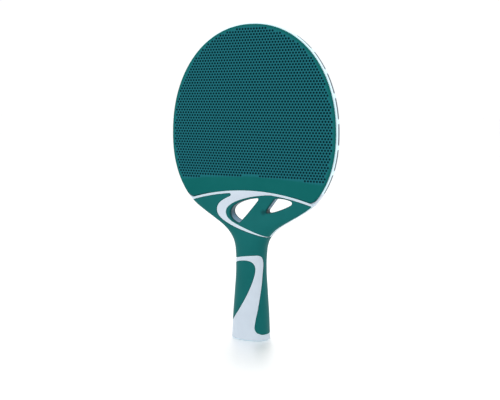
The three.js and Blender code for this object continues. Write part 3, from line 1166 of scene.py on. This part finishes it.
def ramp(tree, value, low, high):
    """Two colours mixed by a value, from the first below a third to the second above two thirds."""
    made = add_node(tree, "ValToRGB")
    made.color_ramp.elements[0].position = 0.33
    made.color_ramp.elements[0].color = (*low, 1)
    made.color_ramp.elements[1].position = 0.67
    made.color_ramp.elements[1].color = (*high, 1)
    tree.links.new(value, made.inputs["Fac"])
    return made.outputs["Color"]


def remap(tree, value, low, high):
    """Spreads the middle range of noise over low to high."""
    made = add_node(tree, "MapRange", From_Min=0.3, From_Max=0.7, To_Min=low, To_Max=high)
    tree.links.new(value, made.inputs["Value"])
    return made.outputs["Result"]


def grain(tree, shader, scale, depth, strength):
    """Fine bump all over the surface."""
    made = add_node(tree, "Bump", Strength=strength, Distance=depth)
    tree.links.new(noise(tree, scale, 2.0), made.inputs["Height"])
    tree.links.new(made.outputs["Normal"], shader.inputs["Normal"])


def tint(tree, colour, mark_name, other):
    """Mixes a colour towards another where the mesh is marked."""
    where = add_node(tree, "Attribute")
    where.attribute_name = mark_name
    made = add_node(tree, "Mix")
    made.data_type = "RGBA"
    factor, first, second = made.inputs[0], made.inputs[6], made.inputs[7]
    tree.links.new(where.outputs["Fac"], factor)
    tree.links.new(colour, first)
    second.default_value = (*other, 1)
    return made.outputs[2]


def resin_material():
    """White composite resin: satin, finely grained, with faint flow marks. It has a painted highlight along
    its edges, painted blue-grey shade on the windows' walls, darker painted shade where these are shaded
    and grey painted shade in the slots."""
    material, tree, shader = node_material("white_resin", (0.51, 0.59, 0.67), 0.35, 0.25)
    colour = ramp(tree, noise(tree, 60, 4), (0.50, 0.57, 0.65), (0.53, 0.605, 0.685))
    # Painted highlight along the edges, then painted shade on the windows' walls, darker painted shade
    # where these are shaded, and painted grey shade in the slots.
    colour = tint(tree, colour, "edge", (0.70, 0.92, 1.0))
    colour = tint(tree, colour, "wall_shade", (0.125, 0.265, 0.39))
    colour = tint(tree, colour, "shaded", (0.003, 0.04, 0.045))
    colour = tint(tree, colour, "slot_shade", (0.22, 0.22, 0.23))
    tree.links.new(colour, shader.inputs["Base Color"])
    tree.links.new(remap(tree, noise(tree, 400), 0.3, 0.42), shader.inputs["Roughness"])
    grain(tree, shader, 2600, 0.00003, 0.35)
    return material


def rubber_material():
    """Teal playing rubber: matt, with a painted highlight that makes it a little lighter and bluer where it
    is dimpled, painted shade along its lower edge, and painted shade dark down in its dimples.
    """
    material, tree, shader = node_material("dimpled_rubber", (0.004, 0.108, 0.105), 0.62, 0.03)
    colour = ramp(tree, noise(tree, 45, 4), (0.003, 0.102, 0.098), (0.0045, 0.111, 0.107))
    # Painted highlight over the dimpled area, painted shade along the lower edge and painted shade down in
    # the dimples.
    colour = tint(tree, colour, "field", (0.012, 0.130, 0.158))
    colour = tint(tree, colour, "edge", (0.002, 0.06, 0.065))
    colour = tint(tree, colour, "pit", (0.0005, 0.028, 0.036))
    tree.links.new(colour, shader.inputs["Base Color"])
    tree.links.new(remap(tree, noise(tree, 700), 0.56, 0.7), shader.inputs["Roughness"])
    grain(tree, shader, 3200, 0.00003, 0.3)
    return material


def soft_material():
    """Teal soft-touch elastomer with a fine matt grain, with painted shade in the grooves along its edges.
    """
    material, tree, shader = node_material("soft_elastomer", (0.004, 0.12, 0.122), 0.5, 0.06)
    colour = ramp(tree, noise(tree, 55, 4), (0.003, 0.105, 0.105), (0.0045, 0.116, 0.116))
    # Painted shade in the grooves along the edges.
    colour = tint(tree, colour, "edge", (0.002, 0.06, 0.065))
    shader.inputs["Sheen Weight"].default_value = 0.12
    shader.inputs["Sheen Roughness"].default_value = 0.4
    shader.inputs["Sheen Tint"].default_value = (0.75, 0.95, 1.0, 1)
    tree.links.new(colour, shader.inputs["Base Color"])
    tree.links.new(remap(tree, noise(tree, 900), 0.44, 0.56), shader.inputs["Roughness"])
    grain(tree, shader, 3600, 0.00003, 0.3)
    return material


def adhesive_material():
    """Dull adhesive film, slightly uneven in tone."""
    material, tree, shader = node_material("adhesive_film", (0.7, 0.67, 0.55), 0.6, 0.4)
    colour = ramp(tree, noise(tree, 120, 3), (0.64, 0.61, 0.5), (0.72, 0.69, 0.58))
    tree.links.new(colour, shader.inputs["Base Color"])
    grain(tree, shader, 1500, 0.00002, 0.2)
    return material


def floor_material():
    """White studio floor that mirrors softly round the bat and is matt further away."""
    material, tree, shader = node_material("studio_floor", (0.99, 0.99, 0.99), 0.5, 0.1)
    tree.links.new(remap(tree, noise(tree, 3), 0.48, 0.52), shader.inputs["Roughness"])
    where = add_node(tree, "TexCoord")
    length = add_node(tree, "VectorMath")
    length.operation = "LENGTH"
    tree.links.new(where.outputs["Object"], length.inputs[0])
    mirror = add_node(tree, "MapRange", From_Min=-0.02, From_Max=0.17, To_Min=1.0, To_Max=0.0)
    mirror.interpolation_type = "SMOOTHSTEP"
    tree.links.new(length.outputs["Value"], mirror.inputs["Value"])
    tree.links.new(mirror.outputs["Result"], shader.inputs["Metallic"])
    return material


# ---- camera, light and floor


def add_camera():
    """Camera to the right of the front, a little above the head's middle, with a long lens."""
    place = Vector((0.3191, -0.6009, 0.1895))
    forward = Vector((-0.46837, 0.87708, -0.10660)).normalized()
    right = forward.cross(Vector((-0.05529, 0.09132, 0.99429))).normalized()
    up = right.cross(forward)
    data = bpy.data.cameras.new("camera")
    data.sensor_width = 36
    data.lens = 59.296
    data.clip_start = 0.01
    data.clip_end = 50
    made = linked("camera", data)
    rows = Matrix((right, up, -forward)).transposed()
    made.matrix_world = Matrix.Translation(place) @ rows.to_4x4()
    bpy.context.scene.camera = made


def soft_box(name, place, aim, size, power):
    """A rectangular light at a place, turned to face its aim."""
    data = bpy.data.lights.new(name, "AREA")
    data.shape = "RECTANGLE"
    data.size, data.size_y = size
    data.energy = power
    made = linked(name, data)
    made.location = place
    made.rotation_euler = (Vector(aim) - Vector(place)).to_track_quat("-Z", "Y").to_euler()


def studio():
    """Even white surroundings, one soft box above the front left and one overhead, and a white floor."""
    world = bpy.data.worlds.new("studio")
    bpy.context.scene.world = world
    world.use_nodes = True
    background = world.node_tree.nodes["Background"]
    background.inputs["Color"].default_value = (1, 1, 1, 1)
    background.inputs["Strength"].default_value = 1.03
    soft_box("key", (-0.7, -0.9, 0.9), (0, 0, 0.13), (0.8, 0.8), 3.0)
    soft_box("overhead", (0, 0.1, 1.4), (0, 0, 0), (1.6, 1.6), 6.0)
    reach = 30
    corners = np.array([[-1, -1], [1, -1], [1, 1], [-1, 1]]) * reach / MM
    floor = new_object("floor", np.insert(corners, 2, -0.1, axis=1), [(0, 1, 2, 3)])
    floor.data.materials.append(floor_material())
    bpy.context.scene.view_settings.view_transform = "Standard"


# ---- the bat


def finish_piece(made, material, node, crease=40):
    """Gives a piece its material and its place, smooth but for turns sharper than the crease."""
    made.data.shade_smooth()
    made.data.set_sharp_from_angle(angle=math.radians(crease))
    made.data.materials.clear()
    made.data.materials.append(material)
    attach(made, "root")
    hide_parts(node)


def build_bat():
    """Makes every piece but the two adhesive films, which only get a material."""
    resin, rubber, soft = resin_material(), rubber_material(), soft_material()
    finish_piece(core_moulding(), resin, "core_frame")
    finish_piece(handle_plug(), resin, "butt_plug")
    sheet_crease = 42
    sheet, marks = rubber_sheet()
    front = solid_object("front_rubber", sheet, marks)
    back = solid_object("back_rubber", mirrored(*sheet), marks)
    finish_piece(front, rubber, "front_sheet", sheet_crease)
    finish_piece(back, rubber, "back_sheet", sheet_crease)
    points, faces, near = panel_shell()
    front = solid_object("front_panel_skin", (points, faces), {"edge": near})
    back = solid_object("back_panel_skin", mirrored(points, faces), {"edge": near})
    finish_piece(front, soft, "front_throat_panel")
    finish_piece(back, soft, "back_throat_panel")
    neck = wrapped("neck_skin", *shell(neck_region(), SKIN_THICK))
    palm = wrapped("palm_skin", *shell(inlay_region(), SKIN_THICK))
    finish_piece(neck, soft, "neck_grip")
    finish_piece(palm, soft, "palm_inlay")
    film = adhesive_material()
    for node in ("front_adhesive_film", "back_adhesive_film"):
        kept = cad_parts[node]
        kept.data.materials.clear()
        kept.data.materials.append(film)


add_camera()
studio()
build_bat()
